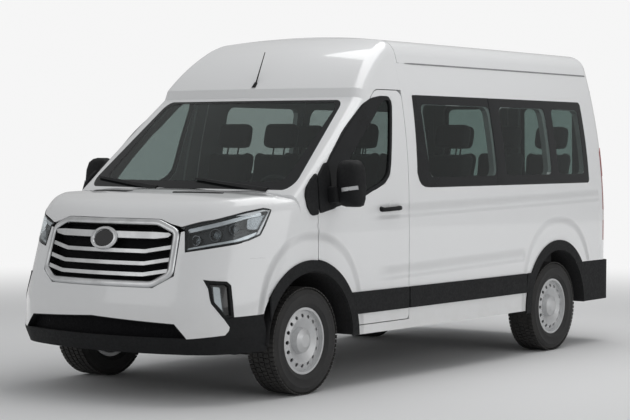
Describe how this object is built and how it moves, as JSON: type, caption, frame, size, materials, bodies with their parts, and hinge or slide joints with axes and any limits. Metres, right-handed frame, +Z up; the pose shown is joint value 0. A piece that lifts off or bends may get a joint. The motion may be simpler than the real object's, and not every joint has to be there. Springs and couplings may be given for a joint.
{
  "type": "minibus",
  "caption": "High-roof passenger minibus with glazed sides, hinged front and rear doors, opening bonnet, steered front wheels and four free-turning wheels.",
  "frame": {"origin": "on the ground under the middle of the vehicle, half way between the axles", "axes": "+X forward, +Y to the driver's side on the left, +Z up"},
  "size_m": [5.444, 2.47, 2.445],
  "materials": {
    "body_paint": "gloss white paint",
    "black_trim": "grained black plastic",
    "tinted_glass": "tinted safety glass",
    "grille_plastic": "black plastic with silver bars",
    "lamp_lens": "clear lamp over dark housing",
    "red_lens": "red lamp lens",
    "tyre_rubber": "matt black rubber",
    "wheel_steel": "silver painted steel",
    "chassis_steel": "dark painted steel",
    "seat_cloth": "dark woven cloth",
    "dash_plastic": "grained dark grey plastic",
    "exhaust_steel": "dull steel"
  },
  "bodies": {
    "body": {"body_side_left": "body_paint", "body_side_right": "body_paint", "sliding_door": "body_paint", "side_glass": "tinted_glass", "rear_bumper": "black_trim", "tail_lamps": "red_lens", "roof_panel": "body_paint", "cab_frame": "body_paint", "windscreen": "tinted_glass", "front_wings": "body_paint", "grille": "grille_plastic", "headlamps": "lamp_lens", "front_bumper": "body_paint", "lower_bumper": "black_trim", "front_subframe": "chassis_steel", "rear_axle": "chassis_steel", "floor": "chassis_steel", "engine": "chassis_steel", "fuel_tank": "chassis_steel", "exhaust": "exhaust_steel", "dashboard": "dash_plastic", "front_seats": "seat_cloth", "rear_seats": "seat_cloth", "mouldings": "black_trim", "cowl": "black_trim", "aerial": "black_trim"},
    "bonnet": {"bonnet": "body_paint"},
    "door_left": {"door_panel_left": "body_paint", "door_glass_left": "tinted_glass", "mirror_left": "black_trim"},
    "rear_door_left": {"rear_door_left": "body_paint", "rear_glass_left": "tinted_glass"},
    "knuckle_left": {"knuckle_left": "chassis_steel"},
    "wheel_front_left": {"tyre_front_left": "tyre_rubber", "rim_front_left": "wheel_steel"},
    "wheel_rear_left": {"tyre_rear_left": "tyre_rubber", "rim_rear_left": "wheel_steel"},
    "door_right": {"door_panel_right": "body_paint", "door_glass_right": "tinted_glass", "mirror_right": "black_trim"},
    "rear_door_right": {"rear_door_right": "body_paint", "rear_glass_right": "tinted_glass"},
    "knuckle_right": {"knuckle_right": "chassis_steel"},
    "wheel_front_right": {"tyre_front_right": "tyre_rubber", "rim_front_right": "wheel_steel"},
    "wheel_rear_right": {"tyre_rear_right": "tyre_rubber", "rim_rear_right": "wheel_steel"},
    "steering_wheel": {"steering_wheel": "dash_plastic"}
  },
  "joints": [
    {"name": "open_door_left", "type": "hinge", "parent": "body", "child": "door_left", "pos_m": [1.603, 1.00375, 0.9], "axis": [0, 0, -1], "range_deg": [0, 65]},
    {"name": "open_rear_door_left", "type": "hinge", "parent": "body", "child": "rear_door_left", "pos_m": [-2.63719, 0.748, 1.4], "axis": [0, 0, -1], "range_deg": [0, 180]},
    {"name": "steer_left", "type": "hinge", "parent": "body", "child": "knuckle_left", "pos_m": [1.683, 0.8, 0.356], "axis": [0, 0, 1], "range_deg": [-35, 35]},
    {"name": "spin_front_left", "type": "hinge", "parent": "knuckle_left", "child": "wheel_front_left", "pos_m": [1.683, 0.8545, 0.356], "axis": [0, 1, 0], "continuous": true},
    {"name": "spin_rear_left", "type": "hinge", "parent": "body", "child": "wheel_rear_left", "pos_m": [-1.683, 0.8545, 0.356], "axis": [0, 1, 0], "continuous": true},
    {"name": "open_door_right", "type": "hinge", "parent": "body", "child": "door_right", "pos_m": [1.603, -1.00375, 0.9], "axis": [0, 0, 1], "range_deg": [0, 65]},
    {"name": "open_rear_door_right", "type": "hinge", "parent": "body", "child": "rear_door_right", "pos_m": [-2.63719, -0.748, 1.4], "axis": [0, 0, 1], "range_deg": [0, 180]},
    {"name": "steer_right", "type": "hinge", "parent": "body", "child": "knuckle_right", "pos_m": [1.683, -0.8, 0.356], "axis": [0, 0, 1], "range_deg": [-35, 35]},
    {"name": "spin_front_right", "type": "hinge", "parent": "knuckle_right", "child": "wheel_front_right", "pos_m": [1.683, -0.8545, 0.356], "axis": [0, 1, 0], "continuous": true},
    {"name": "spin_rear_right", "type": "hinge", "parent": "body", "child": "wheel_rear_right", "pos_m": [-1.683, -0.8545, 0.356], "axis": [0, 1, 0], "continuous": true},
    {"name": "open_bonnet", "type": "hinge", "parent": "body", "child": "bonnet", "pos_m": [1.877, 0, 1.334], "axis": [0, -1, 0], "range_deg": [0, 60]},
    {"name": "turn_steering_wheel", "type": "hinge", "parent": "body", "child": "steering_wheel", "pos_m": [1.29, 0.47, 1.27], "axis": [-0.848, 0, 0.5299], "range_deg": [-525, 525]}
  ],
  "couplings": [
    {"joint": "steer_right", "follows": "steer_left", "ratio": 1},
    {"joint": "turn_steering_wheel", "follows": "steer_left", "ratio": 15}
  ]
}
